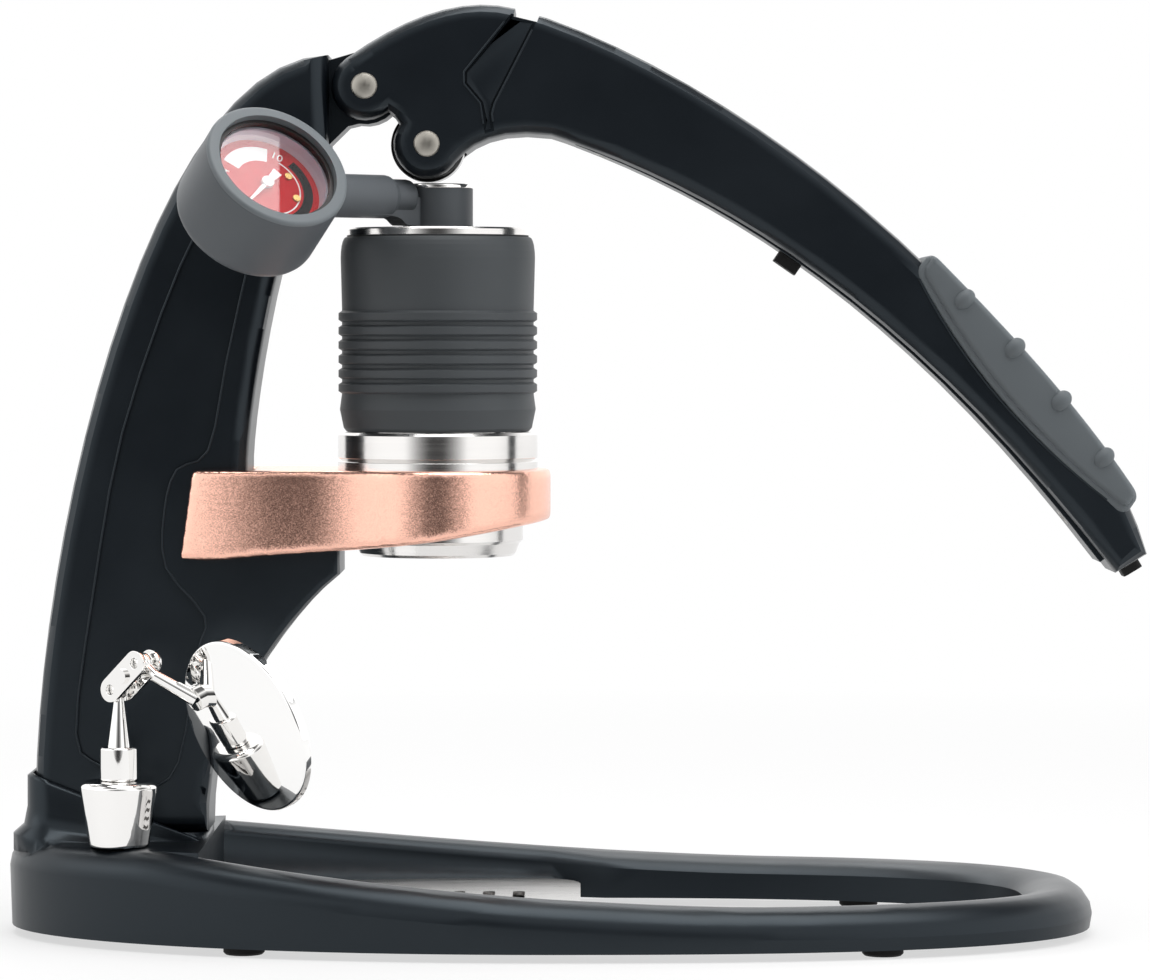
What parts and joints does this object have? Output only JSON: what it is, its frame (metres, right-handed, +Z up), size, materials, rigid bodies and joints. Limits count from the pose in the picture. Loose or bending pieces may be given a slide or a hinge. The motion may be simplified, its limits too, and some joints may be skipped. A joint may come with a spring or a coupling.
{
  "type": "manual lever espresso maker",
  "caption": "Manual lever coffee press: an oval ring base and hooked post carry a brew cylinder, an arched lever that pushes its plunger down, a tilted pressure gauge and a swivelling mirror.",
  "frame": {"origin": "bottom centre of the bounding box, on the plane of the feet", "axes": "+X to the front, along the lever; +Y to the left of the lever; +Z up"},
  "size_m": [0.3256, 0.148, 0.2655],
  "materials": {
    "black_coat": "matte powder coat",
    "foot_rubber": "matte",
    "seal_rubber": "satin",
    "brushed_steel": "brushed",
    "screen_steel": "satin",
    "polished_steel": "polished",
    "fastener_steel": "turned",
    "copper": "satin with a fine sparkle",
    "bronze": "turned",
    "roller_plastic": "gloss",
    "grey_silicone": "satin",
    "gauge_coat": "satin",
    "gauge_rim": "satin",
    "gauge_glass": "clear",
    "gauge_wall": "matte",
    "dial_red": "matte print",
    "gauge_brass": "turned",
    "needle_white": "matte",
    "mirror_silver": "silvered"
  },
  "bodies": {
    "stand": {"base_frame": "black_coat", "base_feet": "foot_rubber", "tower_post": "black_coat", "tower_screw": "fastener_steel", "tower_washer": "fastener_steel", "pivot_bushes": "bronze", "holder_arm": "copper", "holder_screws": "fastener_steel", "portafilter_body": "brushed_steel", "portafilter_spout": "brushed_steel", "filter_basket": "screen_steel", "cylinder_seal": "seal_rubber", "brew_cylinder": "brushed_steel", "dispersion_screen": "screen_steel", "cylinder_sleeve": "grey_silicone"},
    "lever": {"lever_casting": "black_coat", "lever_cover": "black_coat", "cover_screws": "fastener_steel", "lever_grip": "grey_silicone", "lever_bumpers": "foot_rubber", "pivot_pin": "fastener_steel", "pivot_pin_cap": "fastener_steel", "roller_pin": "fastener_steel", "roller_pin_cap": "fastener_steel", "roller_washers": "fastener_steel"},
    "roller": {"press_roller": "roller_plastic", "roller_bush": "bronze"},
    "plunger": {"piston": "brushed_steel", "piston_seals": "seal_rubber", "plunger_stem": "brushed_steel", "stem_cap": "polished_steel"},
    "gauge": {"gauge_arm": "gauge_coat", "collar_seals": "seal_rubber", "gauge_housing": "gauge_coat", "gauge_bezel": "gauge_rim", "gauge_lens": "gauge_glass", "gauge_spacer": "gauge_wall", "gauge_dial": "dial_red", "dial_screws": "gauge_brass", "gauge_socket": "gauge_brass", "bourdon_tube": "gauge_brass", "gauge_movement": "gauge_brass"},
    "needle": {"gauge_needle": "needle_white"},
    "sector": {"sector_gear": "gauge_brass"},
    "tray": {"drip_pan": "brushed_steel", "drip_grate": "brushed_steel"},
    "mirror_stand": {"mirror_foot": "polished_steel", "mirror_magnet": "fastener_steel", "mirror_collar": "polished_steel", "mirror_stud": "polished_steel"},
    "mirror_link": {"link_plates": "polished_steel", "link_screw": "polished_steel"},
    "mirror_head": {"mirror_arm": "polished_steel", "mirror_back": "polished_steel", "mirror_glass": "mirror_silver"}
  },
  "joints": [
    {"name": "lever_pivot", "type": "hinge", "parent": "stand", "child": "lever", "pos_m": [-0.06, 0, 0.2421], "axis": [0, -1, 0], "range_deg": [0, 53]},
    {"name": "roller_spin", "type": "hinge", "parent": "lever", "child": "roller", "pos_m": [-0.0422, 0, 0.2256], "axis": [0, -1, 0], "continuous": true},
    {"name": "plunger_slide", "type": "slide", "parent": "stand", "child": "plunger", "axis": [0, 0, 1], "range_m": [0, 0.0165]},
    {"name": "gauge_swivel", "type": "hinge", "parent": "plunger", "child": "gauge", "pos_m": [-0.0395, 0, 0.2076], "axis": [0, 0, 1], "range_deg": [0, 75]},
    {"name": "sector_swing", "type": "hinge", "parent": "gauge", "child": "sector", "pos_m": [-0.09445, -0.04748, 0.2106], "axis": [0.429, -0.6735, 0.602], "range_deg": [0, 67.5], "stiffness_Nm_per_rad": 0.002, "springref_deg": -11.46},
    {"name": "needle_turn", "type": "hinge", "parent": "gauge", "child": "needle", "pos_m": [-0.0877, -0.04318, 0.2106], "axis": [-0.429, 0.6735, -0.602], "range_deg": [0, 270]},
    {"name": "tray_lift", "type": "slide", "parent": "stand", "child": "tray", "axis": [0, 0, 1], "range_m": [0, 0.02]},
    {"name": "mirror_swivel", "type": "hinge", "parent": "stand", "child": "mirror_stand", "pos_m": [-0.128, -0.034, 0.0276], "axis": [0, 0, 1], "range_deg": [-60, 5]},
    {"name": "link_tilt", "type": "hinge", "parent": "mirror_stand", "child": "mirror_link", "pos_m": [-0.128, -0.034, 0.0718], "axis": [0.6004, 0.7997, 0], "range_deg": [-15, 6]},
    {"name": "arm_tilt", "type": "hinge", "parent": "mirror_link", "child": "mirror_head", "pos_m": [-0.12071, -0.03947, 0.07961], "axis": [0.6004, 0.7997, 0], "range_deg": [-20, 10]}
  ],
  "couplings": [
    {"joint": "plunger_slide", "follows": "lever_pivot", "m_per_rad": 0.0175},
    {"joint": "needle_turn", "follows": "sector_swing", "ratio": 4}
  ]
}
